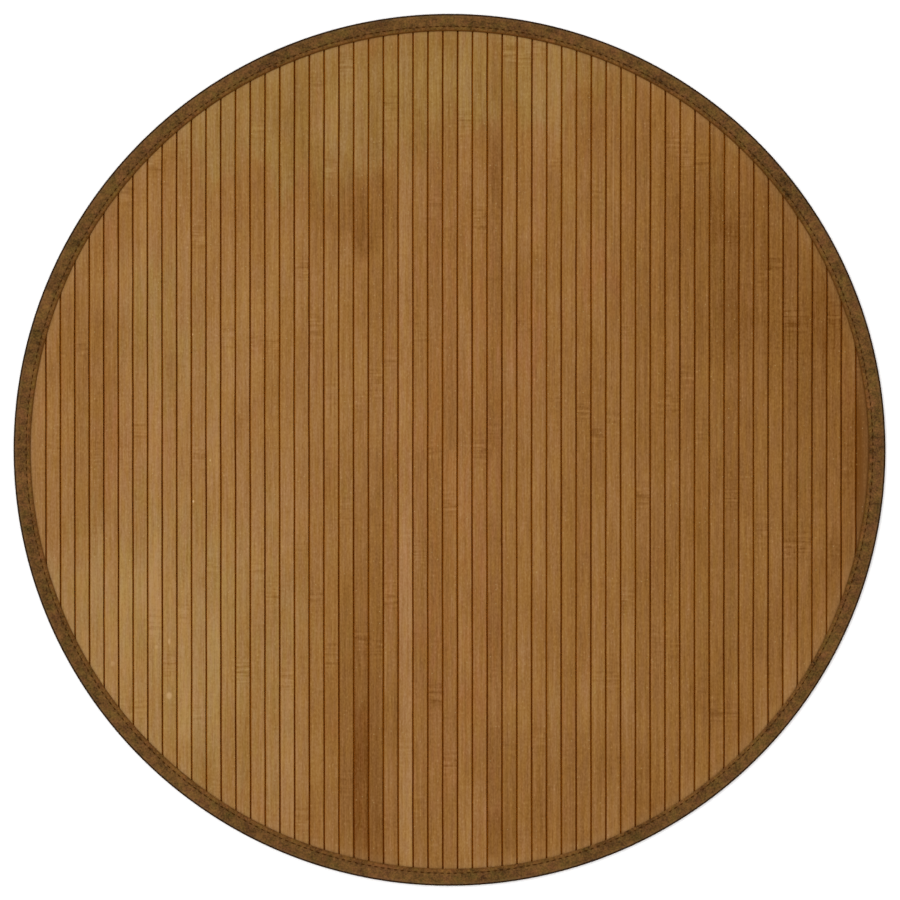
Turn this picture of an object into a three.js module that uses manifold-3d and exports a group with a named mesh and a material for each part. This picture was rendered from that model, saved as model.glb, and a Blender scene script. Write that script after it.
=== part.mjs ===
// A round floor rug of bamboo slats, lying flat.
//
// The slats lie side by side on a disc of felt backing, with a narrow gap between them. A strip of
// cloth binding is folded over the rim, from the upper face round to the underside, and a line of
// sewing presses a shallow groove into it. Under the binding the felt is pressed thin, so the
// whole underside is level.
//
// Millimetres, +Z up. The slats run along Y. The origin is the centre of the underside.

import * as THREE from "three";
import { mergeVertices } from "three/addons/utils/BufferGeometryUtils.js";
import Module from "manifold-3d";

const wasm = await Module();
wasm.setup();

// Driving dimensions
const RUG_DIAMETER = 1000;
const SLAT_COUNT = 57; // odd, so the middle slat lies on the centre line
const MIDDLE_PITCH = 17.03; // slat pitch at the middle of the rug
const SIDE_PITCH = 16.6; // slat pitch at the two sides, where the slats are a little narrower
const SLAT_GAP = 1.8;
const SLAT_THICKNESS = 4;
const SLAT_EDGE_RADIUS = 0.6; // the eased edges along a slat's upper face
const CLOTH_THICKNESS = 1; // binding cloth
const PRESSED_FELT = 1; // the felt's thickness where the binding holds it
const CLEARANCE = 0.3; // between pieces that lie on each other
const BINDING_WIDTH = 19; // rim to the binding's inner edge
const RIM_RADIUS = 3; // outside of each turn of the fold at the rim
const HEM_RADIUS = 0.5; // the eased upper edge of the binding's inner side
const STITCH_INSET = 14.1; // rim to the line of sewing
const STITCH_GROOVE = { width: 2.6, depth: 0.35 };
const RIM_STEPS = 120; // straight sides that stand for the round outline
const TURN_STEPS = 3; // steps in each quarter turn of the fold
const EASE_STEPS = 2; // steps in each eased edge of a slat

// Sizes worked out from them
const rugRadius = RUG_DIAMETER / 2;
const feltThickness = CLOTH_THICKNESS + CLEARANCE + PRESSED_FELT;
const slatBottom = feltThickness + CLEARANCE;
const slatTop = slatBottom + SLAT_THICKNESS;
const flapBottom = slatTop + CLEARANCE; // the binding's upper flap, over the slats
const flapTop = flapBottom + CLOTH_THICKNESS;
const bindingInner = rugRadius - BINDING_WIDTH;
const stitchRadius = rugRadius - STITCH_INSET;
const coreRadius = rugRadius - RIM_RADIUS; // slats and felt end here, inside the fold
const foldInside = RIM_RADIUS - CLOTH_THICKNESS;

// Materials
const clothFinish = { roughness: 0.9, metalness: 0 };
const feltMaterial = new THREE.MeshStandardMaterial({ color: "#4a2c12", ...clothFinish });
const bindingMaterial = new THREE.MeshStandardMaterial({ color: "#674825", ...clothFinish });
const bambooTints = ["#9e7442", "#95693a", "#a07747", "#916537", "#99703d"];
const TINT_STRIDE = 3; // steps through the tints so that neighbours differ

function bambooMaterial(index) {
  return new THREE.MeshStandardMaterial({
    color: bambooTints[(index * TINT_STRIDE) % bambooTints.length],
    roughness: 0.55,
    metalness: 0,
  });
}

function namedMesh(name, geometry, material) {
  const mesh = new THREE.Mesh(geometry, material);
  mesh.name = name;
  return mesh;
}

// A closed geometry as a solid that can be cut.
function solidOf(geometry) {
  const bare = geometry.clone();
  bare.deleteAttribute("normal");
  bare.deleteAttribute("uv");
  const merged = mergeVertices(bare);
  return new wasm.Manifold(
    new wasm.Mesh({
      numProp: 3,
      vertProperties: merged.getAttribute("position").array,
      triVerts: new Uint32Array(merged.index.array),
    }),
  );
}

function geometryOf(solid) {
  const { vertProperties, triVerts } = solid.getMesh();
  const geometry = new THREE.BufferGeometry();
  geometry.setAttribute("position", new THREE.BufferAttribute(vertProperties, 3));
  geometry.setIndex(new THREE.BufferAttribute(triVerts, 1));
  geometry.computeVertexNormals();
  return geometry;
}

// A profile in (radius, height), turned round the upright axis.
function turned(points) {
  return new THREE.LatheGeometry(points, RIM_STEPS).rotateX(Math.PI / 2);
}

// Points along a quarter turn round (centreRadius, centreHeight), from one angle to the next.
function quarterTurn(centreRadius, centreHeight, radius, fromAngle, toAngle) {
  const points = [];
  for (let step = 0; step <= TURN_STEPS; step++) {
    const angle = THREE.MathUtils.lerp(fromAngle, toAngle, step / TURN_STEPS);
    points.push(
      new THREE.Vector2(
        centreRadius + radius * Math.cos(angle),
        centreHeight + radius * Math.sin(angle),
      ),
    );
  }
  return points;
}

// The middle of gap number `gap`, where gap 0 lies between the first two slats. The pitch falls
// from MIDDLE_PITCH to SIDE_PITCH with the square of the distance from the centre line.
function gapPlace(gap) {
  const outermost = (SLAT_COUNT - 2) / 2;
  const fromCentre = gap - outermost;
  const narrowing = (MIDDLE_PITCH - SIDE_PITCH) / (3 * outermost ** 2);
  return MIDDLE_PITCH * fromCentre - narrowing * fromCentre ** 3;
}

// A slat's two long sides. The first and last slat reach to the core's edge.
function slatSides(index) {
  const first = index === 0;
  const last = index === SLAT_COUNT - 1;
  return {
    left: first ? -coreRadius : gapPlace(index - 1) + SLAT_GAP / 2,
    right: last ? coreRadius : gapPlace(index) - SLAT_GAP / 2,
  };
}

// The slat's section, across and up, with its two upper edges eased.
function slatSection({ left, right }) {
  const shoulder = slatTop - SLAT_EDGE_RADIUS;
  const section = new THREE.Shape();
  section.moveTo(left, slatBottom);
  section.lineTo(right, slatBottom);
  section.lineTo(right, shoulder);
  section.absarc(right - SLAT_EDGE_RADIUS, shoulder, SLAT_EDGE_RADIUS, 0, Math.PI / 2);
  section.lineTo(left + SLAT_EDGE_RADIUS, slatTop);
  section.absarc(left + SLAT_EDGE_RADIUS, shoulder, SLAT_EDGE_RADIUS, Math.PI / 2, Math.PI);
  section.closePath();
  return section;
}

// A full-length bar of the slat's section, cut at both ends to the round of the core.
function buildSlat(index, core) {
  const bar = new THREE.ExtrudeGeometry(slatSection(slatSides(index)), {
    depth: RUG_DIAMETER,
    bevelEnabled: false,
    curveSegments: EASE_STEPS,
  });
  bar.rotateX(Math.PI / 2).translate(0, rugRadius, 0);
  const number = String(index + 1).padStart(2, "0");
  const slat = geometryOf(solidOf(bar).intersect(core));
  return namedMesh(`slat_${number}`, slat, bambooMaterial(index));
}

// The round cutter that gives the slats their ends, tall enough to pass right through them.
function buildCore() {
  const height = 3 * flapTop;
  const cylinder = new THREE.CylinderGeometry(coreRadius, coreRadius, height, RIM_STEPS);
  return solidOf(cylinder.rotateX(Math.PI / 2));
}

// The felt disc, pressed thin over the binding's lower flap.
function buildBacking() {
  const fullRadius = bindingInner - CLEARANCE;
  const pressedBottom = feltThickness - PRESSED_FELT;
  const profile = [
    new THREE.Vector2(0, 0),
    new THREE.Vector2(fullRadius, 0),
    new THREE.Vector2(fullRadius, pressedBottom),
    new THREE.Vector2(coreRadius, pressedBottom),
    new THREE.Vector2(coreRadius, feltThickness),
    new THREE.Vector2(0, feltThickness),
  ];
  return namedMesh("backing", turned(profile), feltMaterial);
}

// The binding's section: lower flap, fold round the rim, upper flap with its groove, and back
// along the inside of the fold.
function buildBinding() {
  const quarter = Math.PI / 2;
  const lowerTurn = RIM_RADIUS; // height of the lower turn's centre
  const upperTurn = flapTop - RIM_RADIUS;
  const grooveHalf = STITCH_GROOVE.width / 2;
  const profile = [
    new THREE.Vector2(bindingInner, 0),
    ...quarterTurn(coreRadius, lowerTurn, RIM_RADIUS, -quarter, 0),
    ...quarterTurn(coreRadius, upperTurn, RIM_RADIUS, 0, quarter),
    new THREE.Vector2(stitchRadius + grooveHalf, flapTop),
    new THREE.Vector2(stitchRadius, flapTop - STITCH_GROOVE.depth),
    new THREE.Vector2(stitchRadius - grooveHalf, flapTop),
    new THREE.Vector2(bindingInner + HEM_RADIUS, flapTop),
    new THREE.Vector2(bindingInner, flapTop - HEM_RADIUS),
    new THREE.Vector2(bindingInner, flapBottom),
    ...quarterTurn(coreRadius, upperTurn, foldInside, quarter, 0),
    ...quarterTurn(coreRadius, lowerTurn, foldInside, 0, -quarter),
    new THREE.Vector2(bindingInner, CLOTH_THICKNESS),
    new THREE.Vector2(bindingInner, 0),
  ];
  return namedMesh("binding", turned(profile), bindingMaterial);
}

function buildRug() {
  const rug = new THREE.Group();
  rug.add(buildBacking(), buildBinding());
  const slats = new THREE.Group();
  const core = buildCore();
  for (let index = 0; index < SLAT_COUNT; index++) slats.add(buildSlat(index, core));
  rug.add(slats);
  return rug;
}

export default buildRug();
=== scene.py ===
"""A round rug of bamboo slats with a sewn cloth binding, lying flat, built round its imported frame.

The frame gives each slat's place, the felt's height and the rug's radius. The slats, the felt, the
binding and its sewing are modelled here as finer pieces in the same places. Metres, +Z up, with
the slats along Y and the origin at the centre of the underside.
"""

import math
import random
from collections import namedtuple

import bmesh
import bpy
from bpy.props import FloatProperty, FloatVectorProperty, IntProperty, PointerProperty
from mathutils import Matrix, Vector


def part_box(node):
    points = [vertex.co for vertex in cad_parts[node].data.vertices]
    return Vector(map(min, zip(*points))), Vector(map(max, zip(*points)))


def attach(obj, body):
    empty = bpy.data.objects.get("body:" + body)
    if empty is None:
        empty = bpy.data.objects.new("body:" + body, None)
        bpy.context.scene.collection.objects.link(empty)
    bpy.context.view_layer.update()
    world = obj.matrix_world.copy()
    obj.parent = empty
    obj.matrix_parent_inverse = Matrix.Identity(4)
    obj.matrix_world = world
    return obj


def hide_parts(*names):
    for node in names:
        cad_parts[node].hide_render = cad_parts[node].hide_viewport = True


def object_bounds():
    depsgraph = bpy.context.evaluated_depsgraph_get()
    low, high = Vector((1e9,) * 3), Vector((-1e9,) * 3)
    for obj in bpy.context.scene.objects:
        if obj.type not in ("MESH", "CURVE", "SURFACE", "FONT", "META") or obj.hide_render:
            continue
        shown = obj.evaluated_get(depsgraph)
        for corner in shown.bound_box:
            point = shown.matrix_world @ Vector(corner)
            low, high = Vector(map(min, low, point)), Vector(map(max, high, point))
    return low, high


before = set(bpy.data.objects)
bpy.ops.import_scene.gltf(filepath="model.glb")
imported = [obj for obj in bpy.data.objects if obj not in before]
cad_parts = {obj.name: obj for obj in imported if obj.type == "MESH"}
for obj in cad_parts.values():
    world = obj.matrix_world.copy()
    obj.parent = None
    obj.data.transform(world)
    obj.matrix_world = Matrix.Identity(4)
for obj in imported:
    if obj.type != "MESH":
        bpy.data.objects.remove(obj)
cad_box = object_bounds()

bl_info = {
    "name": "Round bamboo rug",
    "version": (1, 0, 0),
    "blender": (4, 5, 0),
    "location": "3D View > Sidebar > Bamboo rug",
    "description": "Makes a round rug of bamboo slats on felt, with a sewn cloth binding",
    "category": "Add Mesh",
}

MM = 0.001
BODY = "root"

# Sizes that the frame gives
SLAT_NODES = sorted(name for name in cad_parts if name.startswith("slat_"))
rug_radius = cad_box[1].x
rug_top = cad_box[1].z
felt_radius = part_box("backing")[1].x
felt_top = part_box("backing")[1].z
slat_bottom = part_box(SLAT_NODES[0])[0].z
slat_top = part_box(SLAT_NODES[0])[1].z

# The camera looks straight down. The photograph is square, and these are the rug's place in it, in
# pixels from its upper left corner.
PHOTO_SIDE = 900
PHOTO_RADIUS = 435.81
PHOTO_CENTRE = (449.52, 449.81)
LENS = 85
SENSOR = 36

# Steps of the meshes
SLAT_RINGS = 150
SLAT_COLUMNS = 4
EDGE_STEPS = 3
FELT_STEPS = 240
FELT_RINGS = 12
STEPS_PER_STITCH = 4
FOLD_STEPS = 4
THREAD_SIDES = 6
THREAD_CUTS = 5

# Faces that meet at less than these angles are shaded smooth, and heights or points less than a hair
# apart count as one
SMOOTH_ANGLE = math.radians(40)
CLOTH_SMOOTH_ANGLE = math.radians(50)
HAIR = MM / 100

# The felt's thickness where the binding presses it, and its clearance inside the lower flap. Its
# underside rises there in a step, this far outwards half way up and at the top, and the felt stops
# short of the slats' ends.
PRESSED_FELT = 1 * MM
FELT_CLEARANCE = 0.3 * MM
STEP_MIDDLE = 0.2 * MM
STEP_TOP = 0.5 * MM
FELT_INSET = 0.5 * MM

# Sewing. The thread is pressed flat, spans a share of a stitch's pitch, narrows at its ends and dives
# into the cloth there. It draws the cloth in, and painted shade darkens the cloth in the pit under it.
# The upper flap's inner edge drops to the slats.
THREAD_FLATNESS = 0.8
STITCH_SHARE = 0.7
STITCH_TIP = 0.12
STITCH_DIVE = 0.45 * MM
FIRST_STITCH = math.radians(0.79)
PUCKER_DEPTH = 0.08 * MM
PUCKER_REACH = 1.6 * MM
PIT_SHADE_REACH = 0.95 * MM
HEM_DROP = 0.3 * MM

# Pitches of the binding's weave and of the thread's twist
WEAVE_PITCH = 0.9 * MM
TWIST_PITCH = 0.7 * MM

# How the slats lie in the photograph: drawn to the right of their even places, more at the two
# sides and at the ends, and leaning a little. At the rug's middle, then for one radius away.
SLAT_DRIFT = 0.45 * MM
SLAT_SQUEEZE = -0.3 * MM
DRIFT_AT_SIDES = 1.3 * MM
DRIFT_AT_ENDS = 0.4 * MM
SLAT_LEAN = 0.6 * MM

# The binding is narrower at the lower right, and the painted shadow at its inner edge is darkest at the
# top
NARROW_TURN = math.radians(308)
NARROW_SPREAD = math.radians(40)
NARROW_EASE = math.radians(25)
NARROWED = 1.3 * MM
SHADE_TURN = math.radians(95)

# Joints of the bamboo show as faint bands of crosswise ticks
JOINT_SPACING = 290 * MM
JOINT_UNEVENNESS = (0.85, 1.1)
JOINT_REACH = 24 * MM

# How far the slats differ in tone and warmth, how far in their long edges are worn, lit by a painted
# highlight and more deeply stained, and the share of a slat's width that is moved with each edge
TONE_SPREAD = 0.025
WARMTH_SPREAD = 0.045
EDGE_REACH = 1.2 * MM
EDGE_SHARE = 0.25

# Patterns of the bamboo: repeats in a metre across and along the slats, then the noise's settings
Pattern = namedtuple("Pattern", "across along detail roughness")
FIBRES = Pattern(430, 15, 3, 0.6)
FINE_FIBRES = Pattern(800, 50, 3, 0.6)
MOTTLE = Pattern(260, 120, 4, 0.65)
FLECKS = Pattern(520, 330, 2, 0.5)
SLOW_CHANGES = Pattern(60, 6, 3, 0.5)
CLOUDS = Pattern(14, 9, 4, 0.6)
GROWTH = Pattern(260, 1.6, 3, 0.5)
TICKS = Pattern(34, 300, 2, 0.5)
HUES = Pattern(70, 9, 3, 0.5)
FINE_HUES = Pattern(150, 30, 2, 0.5)
GOLDEN_STREAKS = Pattern(170, 28, 3, 0.5)
GOLDEN_SLATS = Pattern(150, 4, 2, 0.5)
STAIN_EDGES = Pattern(120, 25, 3, 0.5)
AREA_EDGES = Pattern(45, 14, 3, 0.5)

# How far the edges of stains and of broad areas wander along the slats, and how much a mark of
# strength 1 changes the tone
STAIN_WANDER = 70 * MM
AREA_WANDER = 160 * MM
MARK_DEPTH = 0.5

# Marks on the slats, in millimetres from the rug's centre: x across, y along the slats
Mark = namedtuple("Mark", "x y half_width half_length strength")
STAINS = (
    Mark(-102, -376, 11, 105, 0.5),
    Mark(-84, -386, 11, 90, 0.06),
    Mark(-103, 272, 12, 45, 0.2),
    Mark(-98, -340, 45, 300, 0.32),
    Mark(53, 334, 12, 50, 0.15),
    # The last slat at the right is darkened all along, partly as painted shade beside the binding
    Mark(480, 60, 14, 330, 0.5),
    Mark(53, -443, 26, 40, 0.2),
)
FADED_SLATS = (
    Mark(-51, -290, 11, 330, 0.28),
    Mark(-51, 60, 11, 420, 0.2),
    Mark(386, -247, 12, 60, 0.25),
)
# Pale areas are partly painted light: the broadest of them make the left side of the rug lighter
PALE_AND_LIT_AREAS = (
    Mark(-170, 400, 240, 120, 0.13),
    Mark(75, 440, 190, 95, 0.16),
    Mark(-310, 150, 150, 180, 0.15),
    Mark(-300, -90, 170, 170, 0.2),
    Mark(-375, -255, 150, 190, 0.4),
    Mark(-240, -300, 100, 260, 0.24),
    Mark(-440, -60, 440, 560, 0.14),
    Mark(-250, 360, 70, 80, 0.1),
    Mark(70, 430, 110, 60, 0.08),
)
# Dark areas are partly painted shade: the broadest of them make the right side of the rug darker
DARK_AND_SHADED_AREAS = (
    Mark(390, 225, 160, 210, 0.24),
    Mark(480, 60, 130, 440, 0.22),
    Mark(470, 80, 420, 560, 0.15),
    Mark(-108, 275, 60, 65, 0.34),
    Mark(-185, 385, 26, 45, 0.16),
    Mark(225, 260, 60, 190, 0.1),
    Mark(-415, 110, 80, 110, 0.17),
    Mark(175, -402, 190, 110, 0.15),
    Mark(470, -40, 30, 200, 0.1),
    Mark(400, -250, 130, 110, 0.06),
)
WARM_AREAS = (
    Mark(0, -60, 95, 520, 0.2),
    Mark(85, 120, 30, 90, 0.3),
    Mark(175, 210, 30, 60, 0.3),
    Mark(-360, 10, 60, 90, 0.2),
)
OLIVE_AREAS = (
    Mark(-170, 400, 260, 130, 0.5),
    Mark(75, 440, 190, 95, 0.45),
    Mark(-330, 140, 70, 140, 0.3),
    Mark(-330, -230, 230, 260, 0.3),
)
SPECKS = (
    Mark(-294.9, 132.3, 1.6, 1.6, 0.9),
    Mark(-293.7, -59.1, 1.5, 2.0, 1.0),
    Mark(-274.2, -12.1, 1.2, 1.8, 0.6),
    Mark(-321.3, -281.6, 4.2, 5.4, 0.5),
    Mark(-321.3, -219.7, 2.2, 4.6, 0.4),
    Mark(-386.0, -245.0, 3.0, 3.5, 0.25),
    Mark(-336.0, -226.0, 2.2, 3.0, 0.25),
    Mark(187.9, 312.0, 1.3, 126.0, 0.12),
)

# A mark has its full strength from this share of the way in from its edge
MARK_CORE = 0.6

# Tints, which multiply the colour under them
REDDER = (1.06, 0.94, 1.04, 1)
GREENER = (0.94, 1.05, 1.0, 1)
GOLDEN = (1.0, 0.985, 0.74, 1)
STAINED_EDGE = (0.97, 0.82, 0.44, 1)
WARM_HEM = (1.10, 1.03, 0.92, 1)

# Colours of small marks and stains, of painted light and painted shade near the binding, and of a
# painted highlight on its fold
SPECK = (0.47, 0.30, 0.145, 1)
CRUMB = (0.42, 0.29, 0.13, 1)
PAINTED_LIGHT = (0.32, 0.22, 0.11, 1)
CORNER_SHADOW = (0.072, 0.020, 0.0003, 1)
HEM_SHADE = (0.072, 0.0210, 0.0002, 1)
DEEP_STAIN = (0.225, 0.050, 0.0004, 1)
CREST_HIGHLIGHT = (0.15, 0.10, 0.055, 1)

# Painted light lifts the slats' shade near the binding; it starts and is full at these distances from
# it. The painted shadow in the corner reaches less far, furthest where the inner edge is darkest.
PAINTED_LIGHT_REACH = (14 * MM, 3 * MM)
PAINTED_LIGHT_STRENGTH = 0.08
SHADOW_REACH = 0.6 * MM
MORE_SHADOW_REACH = 1.35 * MM

# Bands across the binding. Those of the rim are measured outwards from the start of the fold, the
# others from the inner edge.
HIGHLIGHT_PLACE = -0.1 * MM
RIM_SHADE_START = (0.45 * MM, 1.35 * MM)
RIM_SHADE_END = (6.5 * MM, 2.7 * MM)
HEM_SHADE_BAND = (1.5 * MM, 0.3 * MM)
WARM_BAND = (4.4 * MM, 3.2 * MM)

# The stage
FLOOR_SIDE = 12
KEY_LIGHT_PLACE = (-1.4, 1.1, 4.2)
KEY_LIGHT_SIZE = 2.0


class SlatSettings(bpy.types.PropertyGroup):
    """Sizes and colours of the slats and of the felt that carries them."""

    edge_radius: FloatProperty(
        name="Edge radius",
        description="Radius of a slat's two upper edges",
        default=0.8 * MM,
        min=0.1 * MM,
        unit="LENGTH",
    )
    crown: FloatProperty(
        name="Crown",
        description="How far a slat's upper face falls from its middle to its edges",
        default=0.15 * MM,
        min=0,
        unit="LENGTH",
    )
    waver: FloatProperty(
        name="Waver",
        description="How far a slat's long edges wander from a straight line",
        default=0.7 * MM,
        min=0,
        unit="LENGTH",
    )
    pale: FloatVectorProperty(
        name="Pale bamboo",
        description="The lightest colour of the slats",
        default=(0.3235, 0.1765, 0.0750),
        subtype="COLOR",
        min=0,
        max=1,
    )
    middle: FloatVectorProperty(
        name="Bamboo",
        description="The main colour of the slats",
        default=(0.2205, 0.1003, 0.0282),
        subtype="COLOR",
        min=0,
        max=1,
    )
    dark: FloatVectorProperty(
        name="Dark bamboo",
        description="The darkest colour of the slats",
        default=(0.111, 0.0370, 0.0025),
        subtype="COLOR",
        min=0,
        max=1,
    )
    felt: FloatVectorProperty(
        name="Felt",
        description="Colour of the felt under the slats",
        default=(0.075, 0.030, 0.008),
        subtype="COLOR",
        min=0,
        max=1,
    )
    stain: FloatVectorProperty(
        name="Stain in the gaps",
        description="Colour of the felt's upper face, where the slats' stain has run on it",
        default=(0.325, 0.086, 0.0008),
        subtype="COLOR",
        min=0,
        max=1,
    )
    seed: IntProperty(
        name="Seed",
        description="Picks the tone of each slat and the places of its joints",
        default=7,
    )


class BindingSettings(bpy.types.PropertyGroup):
    """Sizes and colours of the cloth binding and its sewing."""

    width: FloatProperty(
        name="Width",
        description="From the rim to the binding's inner edge",
        default=19.2 * MM,
        unit="LENGTH",
    )
    cloth: FloatProperty(
        name="Cloth thickness",
        description="Thickness of the binding's cloth",
        default=0.8 * MM,
        unit="LENGTH",
    )
    fold_radius: FloatProperty(
        name="Fold radius",
        description="Outside radius of each turn of the fold at the rim",
        default=3 * MM,
        unit="LENGTH",
    )
    stitch_inset: FloatProperty(
        name="Stitch inset",
        description="From the rim to the line of sewing",
        default=14.9 * MM,
        unit="LENGTH",
    )
    stitches: IntProperty(
        name="Stitches",
        description="Stitches round the rug",
        default=400,
        min=100,
    )
    thread: FloatProperty(
        name="Thread",
        description="Thickness of the sewing thread",
        default=1.2 * MM,
        unit="LENGTH",
    )
    cloth_colour: FloatVectorProperty(
        name="Cloth",
        description="Main colour of the binding",
        default=(0.100, 0.0467, 0.0124),
        subtype="COLOR",
        min=0,
        max=1,
    )
    red_brown: FloatVectorProperty(
        name="Red-brown",
        description="Colour of the binding's warmer patches",
        default=(0.104, 0.0432, 0.0138),
        subtype="COLOR",
        min=0,
        max=1,
    )
    olive: FloatVectorProperty(
        name="Olive",
        description="Colour of the binding's greener patches",
        default=(0.090, 0.0485, 0.0112),
        subtype="COLOR",
        min=0,
        max=1,
    )
    # Dirt and painted shade on the fold at the rim
    dirt_and_shade: FloatVectorProperty(
        name="Dirt",
        description="Colour of the dirt along the rim",
        default=(0.0105, 0.0034, 0.0003),
        subtype="COLOR",
        min=0,
        max=1,
    )
    # Also the colour of the painted shade in the pits and along the line of sewing
    thread_colour: FloatVectorProperty(
        name="Thread colour",
        description="Colour of the sewing, and of the cloth drawn in under it",
        default=(0.038, 0.0115, 0.0004),
        subtype="COLOR",
        min=0,
        max=1,
    )


class StageSettings(bpy.types.PropertyGroup):
    """The floor and the light."""

    floor_colour: FloatVectorProperty(
        name="Floor",
        description="Colour of the floor",
        default=(0.95, 0.95, 0.95),
        subtype="COLOR",
        min=0,
        max=1,
    )
    key_power: FloatProperty(
        name="Key light",
        description="Power of the light at the upper left",
        default=56,
        unit="POWER",
    )
    sky: FloatProperty(
        name="Sky",
        description="Strength of the even light from all round",
        default=1.12,
    )


def only(piece):
    """Deselects everything else and makes one object active."""
    bpy.ops.object.select_all(action="DESELECT")
    piece.select_set(True)
    bpy.context.view_layer.objects.active = piece


def edit(piece):
    """Opens one object in edit mode, in edge selection, with nothing selected."""
    only(piece)
    bpy.ops.object.mode_set(mode="EDIT")
    bpy.ops.mesh.select_mode(type="EDGE")
    bpy.ops.mesh.select_all(action="DESELECT")


def finish_edit():
    """Leaves edit mode."""
    bpy.ops.object.mode_set(mode="OBJECT")


def pick_edges(test):
    """Selects just the edges whose two ends, as points, pass a test."""
    mesh = bpy.context.edit_object.data
    form = bmesh.from_edit_mesh(mesh)
    for edge in form.edges:
        edge.select_set(False)
    for edge in form.edges:
        if test(edge.verts[0].co, edge.verts[1].co):
            edge.select_set(True)
    bmesh.update_edit_mesh(mesh)


def new_piece(name):
    """Names the object just added, and puts its place and scale into its mesh."""
    piece = bpy.context.active_object
    piece.name = name
    piece.data.name = name
    bpy.ops.object.transform_apply(location=True, rotation=True, scale=True)
    return piece


def apply_modifier(piece, kind, **values):
    """Adds one modifier to a piece and applies it."""
    only(piece)
    modifier = piece.modifiers.new(kind.title(), kind)
    for name, value in values.items():
        setattr(modifier, name, value)
    bpy.ops.object.modifier_apply(modifier=modifier.name)


def set_attribute(piece, name, kind, values):
    """Stores one value for each point of a piece. kind is FLOAT or FLOAT_VECTOR."""
    attribute = piece.data.attributes.new(name, kind, "POINT")
    field = "vector" if kind == "FLOAT_VECTOR" else "value"
    attribute.data.foreach_set(field, values)


def drift(point):
    """How far to the right of its even place the slats' material lies at a point."""
    across = point.x / rug_radius
    along = point.y / rug_radius
    bowed = DRIFT_AT_SIDES * across * across + DRIFT_AT_ENDS * along * along
    return SLAT_DRIFT + SLAT_SQUEEZE * across + SLAT_LEAN * across * along + bowed


def narrowed(point):
    """1 in the direction where the binding is narrowest, falling to 0 on both sides of it."""
    turn = math.atan2(point.y, point.x) - NARROW_TURN
    away = abs((turn + math.pi) % (2 * math.pi) - math.pi)
    share = min(1.0, max(0.0, (NARROW_SPREAD - away) / NARROW_EASE))
    return share * share * (3 - 2 * share)


def shaded(point):
    """1 in the direction where the painted shadow at the binding's inner edge is darkest, 0 on the
    other side.
    """
    return 0.5 + 0.5 * math.cos(math.atan2(point.y, point.x) - SHADE_TURN)


def describe_hem(piece):
    """Stores what the materials need to know of the binding's inner edge: where it narrows, and how
    dark its painted shade is.
    """
    points = piece.data.vertices
    set_attribute(piece, "narrowed", "FLOAT", [narrowed(point.co) for point in points])
    set_attribute(piece, "shaded", "FLOAT", [shaded(point.co) for point in points])


def place_in_frame(piece, nodes, material):
    """Dresses a piece, puts it on the rug's body, and hides the nodes of the frame that it stands for.
    """
    piece.data.materials.clear()
    piece.data.materials.append(material)
    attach(piece, BODY)
    if nodes:
        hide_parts(*nodes)


# Materials


def new_material(name):
    """A material with an empty shader. Returns it, its nodes and the shader."""
    material = bpy.data.materials.new(name)
    material.use_nodes = True
    tree = material.node_tree
    return material, tree, tree.nodes["Principled BSDF"]


def feed(tree, node, sockets):
    """Gives each named input of a node its value, or another node's output."""
    for name, value in dict(sockets).items():
        if isinstance(value, bpy.types.NodeSocket):
            tree.links.new(value, node.inputs[name])
        else:
            node.inputs[name].default_value = value


def add(tree, kind, sockets=(), **settings):
    """Adds a shader node. sockets pairs each input with a value or with another node's output."""
    node = tree.nodes.new("ShaderNode" + kind)
    for name, value in settings.items():
        setattr(node, name, value)
    feed(tree, node, sockets)
    return node


def dress(tree, shader, colour, bump, others):
    """Gives a shader its colour, a bump of (height, strength, distance) and its other inputs."""
    height, strength, distance = bump
    sockets = {"Height": height, "Strength": strength, "Distance": distance}
    bumped = add(tree, "Bump", sockets).outputs[0]
    feed(tree, shader, {"Base Color": colour, "Normal": bumped, **others})


def maths(tree, operation, first, second=0.0, third=0.0, clamp=False):
    """Combines up to three values. Gives the result's output."""
    sockets = {0: first, 1: second, 2: third}
    return add(tree, "Math", sockets, operation=operation, use_clamp=clamp).outputs[0]


def remap(tree, value, low, high, to_low=0.0, to_high=1.0, curve="SMOOTHSTEP"):
    """Takes a value from one range to another, and keeps it there."""
    sockets = {"Value": value, "From Min": low, "From Max": high, "To Min": to_low, "To Max": to_high}
    return add(tree, "MapRange", sockets, interpolation_type=curve).outputs[0]


def blend(tree, share, first, second, kind="MIX"):
    """Mixes two colours."""
    sockets = {0: share, 6: first, 7: second}
    return add(tree, "Mix", sockets, data_type="RGBA", blend_type=kind).outputs[2]


def rgba(colour, shade=1.0):
    """A setting's colour as a shader takes it, made darker or lighter."""
    return (*(min(1.0, shade * part) for part in colour), 1.0)


def stretched(tree, place, scale):
    """Scales coordinates, so that a pattern of unit size is 1/scale metres long."""
    return add(tree, "Mapping", {"Vector": place, "Scale": scale}).outputs[0]


def noise(tree, place, scale=1.0, detail=2.0, roughness=0.5):
    """Soft noise around 0.5."""
    sockets = {"Vector": place, "Scale": scale, "Detail": detail, "Roughness": roughness}
    return add(tree, "TexNoise", sockets).outputs[0]


def patterned(tree, place, pattern):
    """Noise that is drawn out along the slats, as a pattern says."""
    local = stretched(tree, place, (pattern.across, pattern.along, 1))
    return noise(tree, local, detail=pattern.detail, roughness=pattern.roughness)


def swayed(tree, start, *pairs):
    """Adds to a start each value's distance from 0.5, times its weight."""
    total = start
    for value, weight in pairs:
        total = maths(tree, "ADD", maths(tree, "MULTIPLY_ADD", value, weight, -weight / 2), total)
    return total


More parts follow.
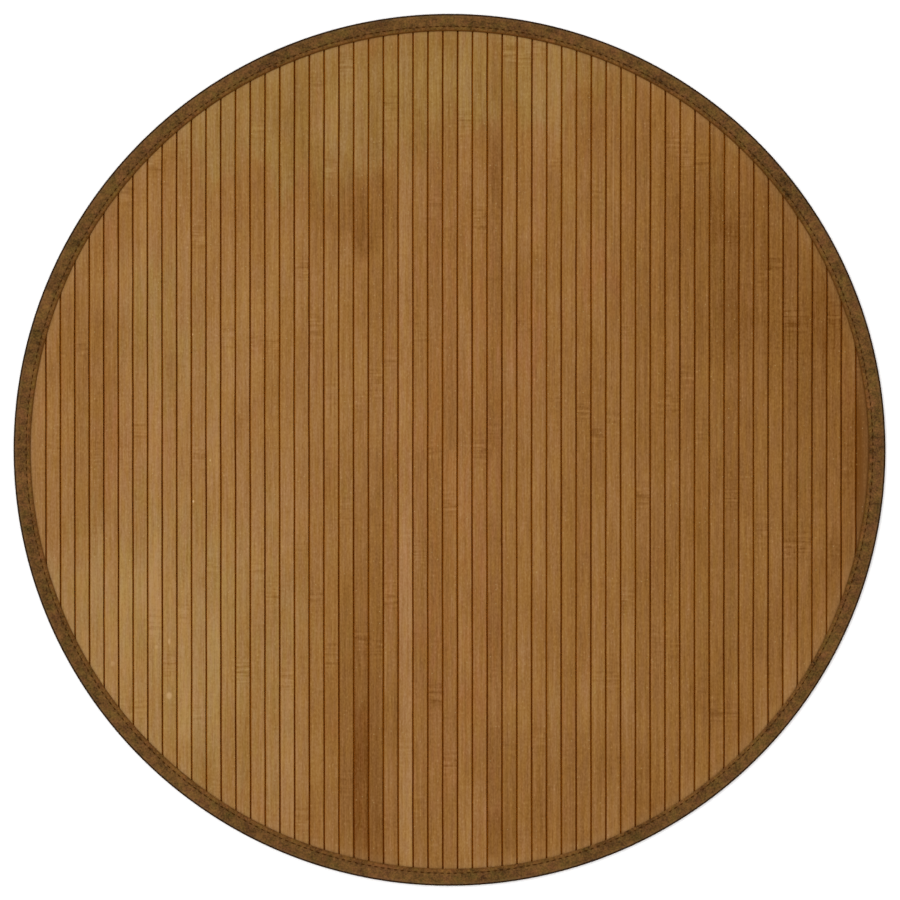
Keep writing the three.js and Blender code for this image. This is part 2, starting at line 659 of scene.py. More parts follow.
def marked(tree, place, marks):
    """Adds up soft elliptical marks."""
    total = 0.0
    for mark in marks:
        centre = (mark.x * MM, mark.y * MM, 0.0)
        size = (mark.half_width * MM, mark.half_length * MM, 1.0)
        sockets = {"Vector": place, "Location": centre, "Scale": size}
        local = add(tree, "Mapping", sockets, vector_type="TEXTURE").outputs[0]
        ball = add(tree, "TexGradient", {"Vector": local}, gradient_type="SPHERICAL").outputs[1]
        total = maths(tree, "ADD", remap(tree, ball, 0.0, MARK_CORE, 0.0, mark.strength), total)
    return total


def flattened(tree, place):
    """The same place at no height, so that a pattern runs straight down a slat's sides."""
    return stretched(tree, place, (1, 1, 0))


def bamboo_material(settings, binding):
    """Stained bamboo with fibres along Y. Each slat's own tone comes from its attributes."""
    material, tree, shader = new_material("stained_bamboo")
    place = add(tree, "TexCoord").outputs["Object"]
    own = add(tree, "Attribute", attribute_name="slat").outputs["Vector"]
    nearness = add(tree, "Attribute", attribute_name="near_edge").outputs["Fac"]
    joint = add(tree, "Attribute", attribute_name="joint").outputs["Fac"]
    slat_x, slat_tone, slat_warmth = add(tree, "SeparateXYZ", {0: own}).outputs
    across, along, _height = add(tree, "SeparateXYZ", {0: place}).outputs
    flat = flattened(tree, place)

    # A stain keeps to its own slat, so it is placed by the slat's middle, not by the point
    stain_edges = patterned(tree, flat, STAIN_EDGES)
    stain_y = swayed(tree, along, (stain_edges, STAIN_WANDER))
    stain_place = add(tree, "CombineXYZ", {"X": slat_x, "Y": stain_y}).outputs[0]
    stained = marked(tree, stain_place, STAINS)
    faded = marked(tree, stain_place, FADED_SLATS)

    # Broad areas run over the slats, with loose edges
    # The broadest areas are partly painted light and shade, lighter on the left and darker on the right
    area_edges = patterned(tree, flat, AREA_EDGES)
    area_y = swayed(tree, along, (area_edges, AREA_WANDER))
    half_way = maths(tree, "MULTIPLY", maths(tree, "ADD", across, slat_x), 0.5)
    area_place = add(tree, "CombineXYZ", {"X": half_way, "Y": area_y}).outputs[0]
    pale_and_lit_area = marked(tree, area_place, PALE_AND_LIT_AREAS)
    olive_area = marked(tree, area_place, OLIVE_AREAS)
    dark_and_shaded_area = marked(tree, area_place, DARK_AND_SHADED_AREAS)
    warm_area = marked(tree, area_place, WARM_AREAS)
    specks = marked(tree, place, SPECKS)

    # Fibres, flecks, and slower changes along each slat
    slow_place = add(tree, "CombineXYZ", {"X": slat_x, "Y": along}).outputs[0]
    fibres = patterned(tree, flat, FIBRES)
    fine = patterned(tree, flat, FINE_FIBRES)
    mottle = patterned(tree, flat, MOTTLE)
    flecks = patterned(tree, flat, FLECKS)
    slow = patterned(tree, slow_place, SLOW_CHANGES)
    clouds = patterned(tree, flat, CLOUDS)
    growth = patterned(tree, flat, GROWTH)
    ticks = patterned(tree, flat, TICKS)

    # The tone runs from 0, dark, over 0.5 to 1, pale
    tone = maths(tree, "ADD", slat_tone, 0.5)
    tone = swayed(tree, tone, (fibres, 0.56), (fine, 0.42), (mottle, 0.4), (flecks, 0.58))
    tone = swayed(tree, tone, (slow, 0.28), (clouds, 0.36), (growth, 0.4))
    stained = maths(tree, "MULTIPLY", stained, maths(tree, "MULTIPLY_ADD", mottle, 1.6, 0.2))
    tone = maths(tree, "MULTIPLY_ADD", maths(tree, "ADD", stained, dark_and_shaded_area), -MARK_DEPTH, tone)
    tone = maths(tree, "MULTIPLY_ADD", maths(tree, "ADD", faded, pale_and_lit_area), MARK_DEPTH, tone)
    # The edges are lighter, partly from wear and partly as a painted highlight on their eased corners
    tone = maths(tree, "MULTIPLY_ADD", nearness, 0.06, tone)
    tick_depth = maths(tree, "MULTIPLY", joint, maths(tree, "MULTIPLY_ADD", ticks, 3.0, -1.4))
    tone = maths(tree, "MULTIPLY_ADD", tick_depth, -MARK_DEPTH, tone)
    fleck = remap(tree, flecks, 0.66, 0.78, 0.0, 0.3)
    tone = maths(tree, "ADD", tone, fleck, clamp=True)
    from_dark = remap(tree, tone, 0.0, 0.5, curve="LINEAR")
    to_pale = remap(tree, tone, 0.5, 1.0, curve="LINEAR")
    colour = blend(tree, from_dark, rgba(settings.dark), rgba(settings.middle))
    colour = blend(tree, to_pale, colour, rgba(settings.pale))

    # Warmer, greener and golden places
    hue = patterned(tree, slow_place, HUES)
    fine_hue = patterned(tree, flat, FINE_HUES)
    warmth = swayed(tree, slat_warmth, (hue, 0.7), (fine_hue, 0.8))
    warmth = maths(tree, "ADD", warmth, warm_area)
    warmth = maths(tree, "MULTIPLY_ADD", stained, 0.2, warmth)
    warmth = maths(tree, "SUBTRACT", warmth, olive_area)
    colour = blend(tree, remap(tree, warmth, 0.0, 0.6), colour, REDDER, "MULTIPLY")
    colour = blend(tree, remap(tree, warmth, 0.0, -0.6), colour, GREENER, "MULTIPLY")
    streaks = patterned(tree, flat, GOLDEN_STREAKS)
    golden_slat = patterned(tree, slow_place, GOLDEN_SLATS)
    golden = remap(tree, swayed(tree, 0.5, (streaks, 1.1), (golden_slat, 0.6)), 0.3, 0.7)
    colour = blend(tree, golden, colour, GOLDEN, "MULTIPLY")

    # Specks, and crumbs of dust on a few of the places that the cells give
    colour = blend(tree, specks, colour, SPECK)
    cells = add(tree, "TexVoronoi", {"Vector": flat, "Scale": 150}, voronoi_dimensions="2D").outputs
    picked = remap(tree, add(tree, "SeparateXYZ", {0: cells["Color"]}).outputs["X"], 0.9, 1.0)
    crumb = maths(tree, "MULTIPLY", remap(tree, cells["Distance"], 0.13, 0.05), picked)
    colour = blend(tree, maths(tree, "MULTIPLY", crumb, 0.45), colour, CRUMB)

    # The stain has run down a slat's edges and stands deeper there
    colour = blend(tree, remap(tree, nearness, 0.3, 1.0), colour, STAINED_EDGE, "MULTIPLY")

    # Painted light lifts the shade towards the binding, and a painted shadow darkens the corner along
    # it
    radius = add(tree, "VectorMath", {0: flat}, operation="LENGTH").outputs["Value"]
    narrow = add(tree, "Attribute", attribute_name="narrowed").outputs["Fac"]
    shade = add(tree, "Attribute", attribute_name="shaded").outputs["Fac"]
    corner = maths(tree, "MULTIPLY_ADD", narrow, NARROWED, rug_radius - binding.width)
    to_corner = maths(tree, "SUBTRACT", corner, radius)
    painted_light = remap(tree, to_corner, *PAINTED_LIGHT_REACH, 0.0, PAINTED_LIGHT_STRENGTH)
    reach = maths(tree, "MULTIPLY_ADD", shade, MORE_SHADOW_REACH, SHADOW_REACH)
    dirt_and_shade = remap(tree, maths(tree, "DIVIDE", to_corner, reach), 1.0, 0.05)
    dirt_and_shade = maths(tree, "MULTIPLY", dirt_and_shade, maths(tree, "MULTIPLY_ADD", shade, 0.3, 0.7))
    dirt_and_shade = maths(tree, "MULTIPLY", dirt_and_shade, maths(tree, "MULTIPLY_ADD", narrow, -0.7, 1.0))
    colour = blend(tree, painted_light, colour, PAINTED_LIGHT)
    colour = blend(tree, dirt_and_shade, colour, CORNER_SHADOW)

    rough = maths(tree, "MULTIPLY_ADD", mottle, 0.2, 0.5)
    height = maths(tree, "MULTIPLY_ADD", fine, 0.5, fibres)
    height = maths(tree, "MULTIPLY_ADD", tick_depth, -0.6, height)
    others = {"Roughness": rough, "Specular IOR Level": 0.05}
    dress(tree, shader, colour, (height, 0.4, 0.15 * MM), others)
    return material


def felt_material(settings):
    """Matted brown felt. Between the slats its upper face is tinged by their stain."""
    material, tree, shader = new_material("brown_felt")
    place = add(tree, "TexCoord").outputs["Object"]
    height = add(tree, "SeparateXYZ", {0: place}).outputs["Z"]
    fuzz = noise(tree, place, 1400, detail=4, roughness=0.7)
    matted = noise(tree, place, 180, detail=3)
    runs = noise(tree, stretched(tree, place, (75, 4, 1)), detail=2)
    fuzzy = remap(tree, fuzz, 0.3, 0.7)
    colour = blend(tree, fuzzy, rgba(settings.felt, 0.6), rgba(settings.felt, 1.5))
    colour = blend(tree, maths(tree, "MULTIPLY", matted, 0.5), colour, rgba(settings.felt))
    stain = blend(tree, remap(tree, runs, 0.36, 0.62), DEEP_STAIN, rgba(settings.stain))
    on_top = remap(tree, height, felt_top - 0.5 * MM, felt_top - 0.1 * MM)
    colour = blend(tree, on_top, colour, stain)
    matting = maths(tree, "ADD", fuzz, matted)
    others = {"Roughness": 0.95, "Specular IOR Level": 0.05, "Sheen Weight": 0.05}
    dress(tree, shader, colour, (matting, 0.4, 0.3 * MM), others)
    return material


def round_the_rim(tree, place, radius):
    """Metres round the rug at a radius."""
    parts = add(tree, "SeparateXYZ", {0: place}).outputs
    return maths(tree, "MULTIPLY", maths(tree, "ARCTAN2", parts["Y"], parts["X"]), radius)


def woven(tree, along, across, pitch):
    """Height of a plain weave, from 0 between the threads to 1 on top of one."""
    warp = maths(tree, "SINE", maths(tree, "MULTIPLY", along, math.pi / pitch))
    weft = maths(tree, "SINE", maths(tree, "MULTIPLY", across, math.pi / pitch))
    over = maths(tree, "GREATER_THAN", maths(tree, "MULTIPLY", warp, weft), 0.0)
    under = maths(tree, "SUBTRACT", 1.0, over)
    warp_top = maths(tree, "MULTIPLY", maths(tree, "ABSOLUTE", warp), over)
    weft_top = maths(tree, "MULTIPLY", maths(tree, "ABSOLUTE", weft), under)
    return maths(tree, "ADD", warp_top, weft_top)


def cloth_material(settings):
    """Woven brown cloth, mottled olive and red-brown, with painted shade at the rim and along its
    sewing.
    """
    material, tree, shader = new_material("binding_weave")
    place = add(tree, "TexCoord").outputs["Object"]
    along = round_the_rim(tree, place, rug_radius)
    across = add(tree, "Attribute", attribute_name="across").outputs["Fac"]
    pit_shade = add(tree, "Attribute", attribute_name="pit_shade").outputs["Fac"]
    narrow = add(tree, "Attribute", attribute_name="narrowed").outputs["Fac"]
    dark_side = add(tree, "Attribute", attribute_name="shaded").outputs["Fac"]
    weave = woven(tree, along, across, WEAVE_PITCH)
    hue = noise(tree, place, 75, detail=4, roughness=0.6)
    mottle = noise(tree, place, 105, detail=3, roughness=0.6)
    grain = noise(tree, place, 480, detail=3, roughness=0.6)
    faded = noise(tree, place, 22, detail=3)

    colour = rgba(settings.cloth_colour)
    colour = blend(tree, remap(tree, hue, 0.48, 0.68), colour, rgba(settings.red_brown))
    colour = blend(tree, remap(tree, hue, 0.50, 0.34), colour, rgba(settings.olive))
    shade = swayed(tree, 1.0, (faded, 1.0), (mottle, 1.65), (grain, 2.5), (weave, 0.25))
    grey = add(tree, "CombineXYZ", {0: shade, 1: shade, 2: shade}).outputs[0]
    colour = blend(tree, 1.0, colour, grey, "MULTIPLY")

    # A painted highlight makes the cloth pale on the shoulder of the fold. Dirt and painted shade
    # darken the rim outside the shoulder, and painted shade darkens the inner edge and the line of
    # sewing.
    fold = binding_fold(settings)
    from_fold = maths(tree, "SUBTRACT", across, fold)
    shoulder_highlight = ridge(tree, from_fold, HIGHLIGHT_PLACE, 0.4 * MM, 0.8 * MM)
    rim = remap(tree, from_fold, *RIM_SHADE_START)
    rim = maths(tree, "MULTIPLY", rim, remap(tree, from_fold, *RIM_SHADE_END))
    hem_shade = remap(tree, across, *HEM_SHADE_BAND)
    hem_shade = maths(tree, "MULTIPLY", hem_shade, maths(tree, "MULTIPLY_ADD", dark_side, 0.5, 0.5))
    hem_shade = maths(tree, "MULTIPLY", hem_shade, maths(tree, "MULTIPLY_ADD", narrow, -0.8, 1.0))
    seam_shade = ridge(tree, across, settings.width - settings.stitch_inset, 0.4 * MM, 0.6 * MM)
    warm = remap(tree, across, *WARM_BAND)
    colour = blend(tree, maths(tree, "MULTIPLY", shoulder_highlight, 0.14), colour, CREST_HIGHLIGHT)
    colour = blend(tree, warm, colour, WARM_HEM, "MULTIPLY")
    colour = blend(tree, maths(tree, "MULTIPLY", hem_shade, 0.85), colour, HEM_SHADE)
    for mask, strength in ((seam_shade, 0.12), (pit_shade, 0.42)):
        share = maths(tree, "MULTIPLY", mask, strength)
        colour = blend(tree, share, colour, rgba(settings.thread_colour))
    colour = blend(tree, maths(tree, "MULTIPLY", rim, 0.92), colour, rgba(settings.dirt_and_shade))

    height = maths(tree, "MULTIPLY_ADD", grain, 0.8, weave)
    others = {"Roughness": 0.92, "Specular IOR Level": 0.03, "Sheen Weight": 0.02}
    dress(tree, shader, colour, (height, 0.5, 0.2 * MM), others)
    return material


def ridge(tree, value, middle, half, ease):
    """1 within a half width of a middle value, easing to 0 outside it."""
    away = maths(tree, "ABSOLUTE", maths(tree, "SUBTRACT", value, middle))
    return remap(tree, away, half + ease, half)


def thread_material(settings):
    """Twisted dark sewing thread."""
    material, tree, shader = new_material("sewing_thread")
    place = add(tree, "TexCoord").outputs["Object"]
    along = round_the_rim(tree, place, rug_radius - settings.stitch_inset)
    radius = add(tree, "VectorMath", {0: flattened(tree, place)}, operation="LENGTH").outputs["Value"]
    slant = maths(tree, "ADD", along, radius)
    twist = maths(tree, "SINE", maths(tree, "MULTIPLY", slant, 2 * math.pi / TWIST_PITCH))
    strand = maths(tree, "MULTIPLY_ADD", twist, 0.5, 0.5)
    colour = settings.thread_colour
    colour = blend(tree, strand, rgba(colour, 0.6), rgba(colour, 1.5))
    others = {"Roughness": 0.85, "Specular IOR Level": 0.02}
    dress(tree, shader, colour, (strand, 0.6, 0.15 * MM), others)
    return material


# Slats


def slat_blank(settings, width):
    """A straight slat of full length at the rug's middle, with eased upper edges and a crown."""
    height = slat_top - slat_bottom
    middle = (slat_bottom + slat_top) / 2
    bpy.ops.object.select_all(action="DESELECT")
    bar = (width, 2 * rug_radius, height)
    bpy.ops.mesh.primitive_cube_add(size=1, location=(0, 0, middle), scale=bar)
    blank = new_piece("slat_blank")
    top_of_edges = slat_top - settings.edge_radius / 2

    edit(blank)
    pick_edges(lambda a, b: min(a.z, b.z) > middle and abs(a.y - b.y) > height)
    bpy.ops.mesh.bevel(offset=settings.edge_radius, segments=EDGE_STEPS)
    pick_edges(lambda a, b: abs(a.y - b.y) > height)
    bpy.ops.mesh.subdivide(number_cuts=SLAT_RINGS)
    pick_edges(lambda a, b: abs(a.x - b.x) > width / 2 and abs(a.z - b.z) < HAIR)
    bpy.ops.mesh.subdivide(number_cuts=SLAT_COLUMNS - 1)
    finish_edit()

    for point in blank.data.vertices:
        if point.co.z > top_of_edges:
            point.co.z -= settings.crown * (2 * point.co.x / width) ** 2
    return blank


def core_cutter():
    """The round form that gives the slats their ends, inside the fold of the binding."""
    bpy.ops.object.select_all(action="DESELECT")
    bpy.ops.mesh.primitive_cylinder_add(
        vertices=FELT_STEPS, radius=felt_radius, depth=4 * rug_top, location=(0, 0, rug_top)
    )
    return new_piece("core_cutter")


def cut_slat(blank, width, node, core, wavers):
    """One slat: the blank, fitted to its node's two sides, roughened and cut round at its ends."""
    low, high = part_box(node)
    slat = blank.copy()
    slat.data = blank.data.copy()
    slat.name = slat.data.name = "bamboo_" + node
    bpy.context.collection.objects.link(slat)
    to_left = low.x + width / 2
    to_right = high.x - width / 2
    for point in slat.data.vertices:
        share = 0.5 + point.co.x / width
        if share < EDGE_SHARE:
            point.co.x += to_left
        elif share > 1 - EDGE_SHARE:
            point.co.x += to_right
        else:
            point.co.x += (to_left + to_right) / 2
        point.co.x += drift(point.co)
    for texture, direction, strength in wavers:
        values = {"texture": texture, "direction": direction, "strength": strength}
        apply_modifier(slat, "DISPLACE", texture_coords="LOCAL", **values)
    apply_modifier(slat, "BOOLEAN", object=core, operation="INTERSECT", solver="EXACT")
    bpy.ops.object.shade_smooth_by_angle(angle=SMOOTH_ANGLE)
    return slat


def cloud_texture(name, size):
    """A slow procedural wave for the Displace modifier."""
    texture = bpy.data.textures.new(name, "CLOUDS")
    texture.noise_scale = size
    texture.noise_depth = 1
    return texture


def describe_slat(slat, node, draw):
    """Stores what the bamboo material reads: the slat's middle and tone, its edges and joints."""
    low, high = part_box(node)
    points = slat.data.vertices
    middle = (low.x + high.x) / 2
    tone = draw.gauss(0, TONE_SPREAD)
    warmth = draw.gauss(0, WARMTH_SPREAD)
    joints = []
    place = draw.uniform(-rug_radius, -rug_radius + JOINT_SPACING)
    while place < rug_radius:
        joints.append((place, draw.uniform(0, 1)))
        place += JOINT_SPACING * draw.uniform(*JOINT_UNEVENNESS)
    nearness = []
    joint = []
    for point in points:
        across = point.co.x - drift(point.co)
        inside = min(across - low.x, high.x - across)
        nearness.append(max(0.0, 1.0 - inside / EDGE_REACH))
        joint.append(max(near_joint(point.co.y, spot) * strength for spot, strength in joints))
    set_attribute(slat, "slat", "FLOAT_VECTOR", (middle, tone, warmth) * len(points))
    set_attribute(slat, "near_edge", "FLOAT", nearness)
    set_attribute(slat, "joint", "FLOAT", joint)
    describe_hem(slat)


def near_joint(along, place):
    """1 at a bamboo joint, falling to 0 a short way along the slat."""
    return max(0.0, 1.0 - abs(along - place) / JOINT_REACH)


class RUG_OT_slats(bpy.types.Operator):
    """Makes the bamboo slats, each in its place in the frame"""

    bl_idname = "rug.slats"
    bl_label = "Bamboo slats"

    def execute(self, context):
        settings = context.scene.rug_slats
        draw = random.Random(settings.seed)
        middle_node = SLAT_NODES[len(SLAT_NODES) // 2]
        low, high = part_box(middle_node)
        width = high.x - low.x
        blank = slat_blank(settings, width)
        core = core_cutter()
        wavers = (
            (cloud_texture("long_waver", 90 * MM), "X", settings.waver),
            (cloud_texture("short_waver", 18 * MM), "X", settings.waver / 3),
            (cloud_texture("face_waver", 40 * MM), "Z", settings.crown),
        )
        material = bamboo_material(settings, context.scene.rug_binding)
        for node in SLAT_NODES:
            slat = cut_slat(blank, width, node, core, wavers)
            describe_slat(slat, node, draw)
            place_in_frame(slat, [node], material)
        for helper in (blank, core):
            bpy.data.objects.remove(helper)
        return {"FINISHED"}


# Turned pieces


def turned_profile(name, profile, steps):
    """A surface made by spinning a path of (radius, height) points round the upright axis."""
    start = profile[0]
    bpy.ops.object.select_all(action="DESELECT")
    bpy.ops.mesh.primitive_plane_add(size=MM, location=(start[0], 0, start[1]))
    piece = new_piece(name)
    only(piece)
    bpy.ops.object.mode_set(mode="EDIT")
    bpy.ops.mesh.select_mode(type="VERT")
    bpy.ops.mesh.select_all(action="SELECT")
    bpy.ops.mesh.merge(type="CENTER")
    for before, after in zip(profile, profile[1:]):
        step = (after[0] - before[0], 0, after[1] - before[1])
        bpy.ops.mesh.extrude_region_move(TRANSFORM_OT_translate={"value": step})
    bpy.ops.mesh.select_all(action="SELECT")
    bpy.ops.mesh.spin(steps=steps, angle=2 * math.pi, center=(0, 0, 0), axis=(0, 0, 1))
    bpy.ops.mesh.select_all(action="SELECT")
    bpy.ops.mesh.remove_doubles(threshold=HAIR)
    bpy.ops.mesh.normals_make_consistent(inside=False)
    finish_edit()
    return piece


def quarter_turn(radius, height, size, start):
    """Points of a quarter turn round (radius, height), without its first one."""
    turns = [start + step / FOLD_STEPS * math.pi / 2 for step in range(1, FOLD_STEPS + 1)]
    return [(radius + size * math.cos(turn), height + size * math.sin(turn)) for turn in turns]


class RUG_OT_felt(bpy.types.Operator):
    """Makes the felt that carries the slats, pressed thin where the binding holds it"""

    bl_idname = "rug.felt"
    bl_label = "Felt backing"

    def execute(self, context):
        binding = context.scene.rug_binding
        inner = rug_radius - binding.width - FELT_CLEARANCE
        outer = felt_radius - FELT_INSET
        raised = felt_top - PRESSED_FELT
        profile = [(inner * ring / FELT_RINGS, 0) for ring in range(FELT_RINGS + 1)]
        profile += [(inner + STEP_MIDDLE, raised / 2), (inner + STEP_TOP, raised)]
        profile += [(outer, raised), (outer, felt_top)]
        profile += [(inner * ring / FELT_RINGS, felt_top) for ring in range(FELT_RINGS, -1, -1)]
        felt = turned_profile("felt_backing", profile, FELT_STEPS)
        bpy.ops.object.shade_smooth_by_angle(angle=SMOOTH_ANGLE)
        place_in_frame(felt, ["backing"], felt_material(context.scene.rug_slats))
        return {"FINISHED"}


def binding_profile(settings):
    """The middle of the cloth's thickness, from the lower inner edge round the rim to the upper one."""
    half = settings.cloth / 2
    turn = settings.fold_radius - half
    centre = rug_radius - settings.fold_radius
    inner = rug_radius - settings.width
    flap = rug_top - half
    stitch = rug_radius - settings.stitch_inset
    # How deep each flap is sunk along the sewing, by the distance outwards from it, in millimetres.
    # The upper one is also turned down at its inner edge.
    lower = ((-2.2, 0.03), (-0.9, 0.26), (0.0, 0.42), (0.9, 0.26), (2.2, 0.03))
    upper = (
        (5.0, 0.00),
        (2.6, 0.04),
        (1.3, 0.16),
        (0.6, 0.34),
        (0.0, 0.42),
        (-0.6, 0.34),
        (-1.3, 0.16),
        (-2.4, 0.05),
        (-3.6, 0.06),
        (-4.4, 0.14),
    )
    profile = [(inner, half)]
    profile += [(stitch + out * MM, half + sunk * MM) for out, sunk in lower]
    profile.append((centre, half))
    profile += quarter_turn(centre, settings.fold_radius, turn, -math.pi / 2)
    profile += quarter_turn(centre, rug_top - settings.fold_radius, turn, 0)
    profile += [(stitch + out * MM, flap - sunk * MM) for out, sunk in upper]
    profile.append((inner, flap - HEM_DROP))
    return profile


def pucker(point, settings, reach):
    """1 at the middle of a stitch, falling to 0 between two stitches and beside the row."""
    radius = math.hypot(point.x, point.y)
    angle = math.atan2(point.y, point.x)
    from_row = (radius - rug_radius + settings.stitch_inset) / reach
    along_row = 0.5 * (1 + math.cos(settings.stitches * (angle - FIRST_STITCH)))
    return math.exp(-from_row * from_row) * along_row


def draw_hem(point, settings):
    """Moves a point of the binding's inner part outwards where the binding is narrower."""
    radius = math.hypot(point.co.x, point.co.y)
    inner = rug_radius - settings.width
    row = rug_radius - settings.stitch_inset
    share = max(0.0, (row - radius) / (row - inner))
    stretch = 1 + share * NARROWED * narrowed(point.co) / radius
    point.co.x *= stretch
    point.co.y *= stretch


class RUG_OT_binding(bpy.types.Operator):
    """Makes the cloth binding, folded over the rim and puckered along its sewing"""

    bl_idname = "rug.binding"
    bl_label = "Cloth binding"

    def execute(self, context):
        settings = context.scene.rug_binding
        profile = binding_profile(settings)
        steps = settings.stitches * STEPS_PER_STITCH
        binding = turned_profile("cloth_binding", profile, steps)
        points = binding.data.vertices
        set_attribute(binding, "across", "FLOAT", distances_across(binding, profile))
        pit_shades = [pucker(point.co, settings, PIT_SHADE_REACH) for point in points]
        set_attribute(binding, "pit_shade", "FLOAT", pit_shades)
        describe_hem(binding)
        for point in points:
            inwards = -1 if point.co.z > rug_top / 2 else 1
            point.co.z += inwards * PUCKER_DEPTH * pucker(point.co, settings, PUCKER_REACH)
            draw_hem(point, settings)
        apply_modifier(binding, "SOLIDIFY", thickness=settings.cloth, offset=0, use_even_offset=True)
        bpy.ops.object.shade_smooth_by_angle(angle=CLOTH_SMOOTH_ANGLE)
        place_in_frame(binding, ["binding"], cloth_material(settings))
        return {"FINISHED"}


def binding_fold(settings):
    """Metres across the strip from its upper inner edge to the start of the fold."""
    return settings.width - settings.fold_radius


def distances_across(piece, profile):
    """Metres across the strip from its upper inner edge, for each point of the spun profile."""
    path = list(reversed(profile))
    lengths = [0.0]
    for before, after in zip(path, path[1:]):
        lengths.append(lengths[-1] + math.dist(before, after))
    found = []
    for point in piece.data.vertices:
        place = (math.hypot(point.co.x, point.co.y), point.co.z)
        nearest = min(range(len(path)), key=lambda index: math.dist(place, path[index]))
        found.append(lengths[nearest])
    return found


class RUG_OT_sewing(bpy.types.Operator):
    """Sews the binding down with a row of stitches on each of its two faces"""

    bl_idname = "rug.sewing"
    bl_label = "Sewing"

    def execute(self, context):
        settings = context.scene.rug_binding
        material = thread_material(settings)
        buried = settings.thread * THREAD_FLATNESS / 2
        above = stitch_row("upper_stitches", settings, rug_top - buried, 1)
        below = stitch_row("lower_stitches", settings, buried, -1)
        for stitches in (above, below):
            place_in_frame(stitches, [], material)
        return {"FINISHED"}


def stitch_row(name, settings, height, side):
    """One stitch, an arched and tapered thread, copied all round the row. side is 1 above, -1 below."""
    row = rug_radius - settings.stitch_inset
    length = STITCH_SHARE * 2 * math.pi * row / settings.stitches
    bpy.ops.object.select_all(action="DESELECT")
    bpy.ops.mesh.primitive_cylinder_add(
        vertices=THREAD_SIDES,
        radius=settings.thread / 2,
        depth=length,
        location=(row, 0, height),
        rotation=(math.pi / 2, 0, 0),
    )
    stitches = new_piece(name)
    edit(stitches)
    pick_edges(lambda a, b: abs(a.y - b.y) > length / 2)
    bpy.ops.mesh.subdivide(number_cuts=THREAD_CUTS)
    finish_edit()
    for point in stitches.data.vertices:
        share = 2 * point.co.y / length
        taper = math.sqrt(max(STITCH_TIP, 1 - share**4))
        dive = STITCH_DIVE * share**2
        point.co.x = row + (point.co.x - row) * taper + row - math.hypot(row, point.co.y)
        point.co.z = height + (point.co.z - height) * taper * THREAD_FLATNESS - side * dive
    stitches.rotation_euler.z = FIRST_STITCH
    bpy.ops.object.transform_apply(rotation=True)
    edit(stitches)
    bpy.ops.mesh.select_all(action="SELECT")
    copies = settings.stitches - 1
    bpy.ops.mesh.spin(
        steps=copies,
        dupli=True,
        angle=2 * math.pi * copies / settings.stitches,
        center=(0, 0, 0),
        axis=(0, 0, 1),
    )
    finish_edit()
    bpy.ops.object.shade_smooth()
    return stitches


# Stage


def add_area_light(name, place, power, size):
    """A round area light aimed at the rug's middle."""
    light = bpy.data.lights.new(name, "AREA")
    light.energy = power
    light.shape = "DISK"
    light.size = size
    holder = bpy.data.objects.new(name, light)
    holder.location = place
    holder.rotation_euler = (-Vector(place)).to_track_quat("-Z", "Y").to_euler()
    bpy.context.collection.objects.link(holder)


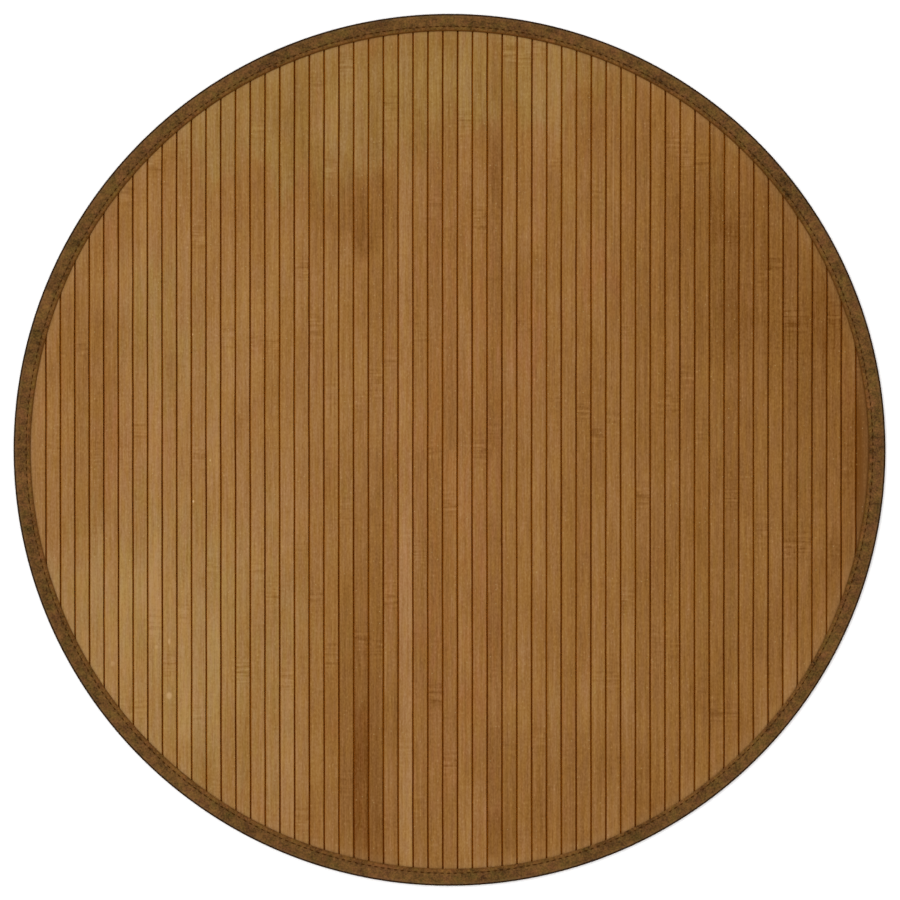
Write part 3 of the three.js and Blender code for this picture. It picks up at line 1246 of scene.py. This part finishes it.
class RUG_OT_stage(bpy.types.Operator):
    """Makes the pale floor, the soft light and the camera straight above"""

    bl_idname = "rug.stage"
    bl_label = "Stage"

    def execute(self, context):
        settings = context.scene.rug_stage
        bpy.ops.object.select_all(action="DESELECT")
        bpy.ops.mesh.primitive_plane_add(size=FLOOR_SIDE, location=(0, 0, 0))
        floor = new_piece("floor")
        material, _tree, shader = new_material("pale_floor")
        shader.inputs["Base Color"].default_value = rgba(settings.floor_colour)
        shader.inputs["Roughness"].default_value = 0.9
        floor.data.materials.append(material)

        add_area_light("key_light", KEY_LIGHT_PLACE, settings.key_power, KEY_LIGHT_SIZE)
        world = bpy.data.worlds.new("studio")
        world.use_nodes = True
        background = world.node_tree.nodes["Background"]
        background.inputs["Color"].default_value = (1, 1, 1, 1)
        background.inputs["Strength"].default_value = settings.sky
        context.scene.world = world
        context.scene.view_settings.view_transform = "Standard"

        camera = bpy.data.cameras.new("camera")
        camera.lens = LENS
        camera.sensor_width = SENSOR
        metres_per_pixel = rug_radius / PHOTO_RADIUS
        distance = PHOTO_SIDE * metres_per_pixel * LENS / SENSOR
        right = (PHOTO_SIDE / 2 - PHOTO_CENTRE[0]) * metres_per_pixel
        up = (PHOTO_CENTRE[1] - PHOTO_SIDE / 2) * metres_per_pixel
        holder = bpy.data.objects.new("camera", camera)
        holder.location = (right, up, rug_top / 2 + distance)
        context.collection.objects.link(holder)
        context.scene.camera = holder
        return {"FINISHED"}


class RUG_PT_panel(bpy.types.Panel):
    """Lists the rug's pieces in the sidebar"""

    bl_label = "Bamboo rug"
    bl_idname = "RUG_PT_panel"
    bl_space_type = "VIEW_3D"
    bl_region_type = "UI"
    bl_category = "Bamboo rug"

    def draw(self, context):
        for settings in SETTINGS.values():
            box = self.layout.box()
            held = getattr(context.scene, settings)
            for name in held.__annotations__:
                box.prop(held, name)
        for operator in OPERATORS:
            self.layout.operator(operator.bl_idname)


SETTINGS = {
    SlatSettings: "rug_slats",
    BindingSettings: "rug_binding",
    StageSettings: "rug_stage",
}
OPERATORS = (RUG_OT_stage, RUG_OT_felt, RUG_OT_slats, RUG_OT_binding, RUG_OT_sewing)


def register():
    for settings, name in SETTINGS.items():
        bpy.utils.register_class(settings)
        setattr(bpy.types.Scene, name, PointerProperty(type=settings))
    for operator in OPERATORS:
        bpy.utils.register_class(operator)
    bpy.utils.register_class(RUG_PT_panel)


def unregister():
    bpy.utils.unregister_class(RUG_PT_panel)
    for operator in reversed(OPERATORS):
        bpy.utils.unregister_class(operator)
    for settings, name in reversed(SETTINGS.items()):
        delattr(bpy.types.Scene, name)
        bpy.utils.unregister_class(settings)


def main():
    register()
    bpy.ops.rug.stage()
    bpy.ops.rug.felt()
    bpy.ops.rug.slats()
    bpy.ops.rug.binding()
    bpy.ops.rug.sewing()


if __name__ == "__main__":
    main()
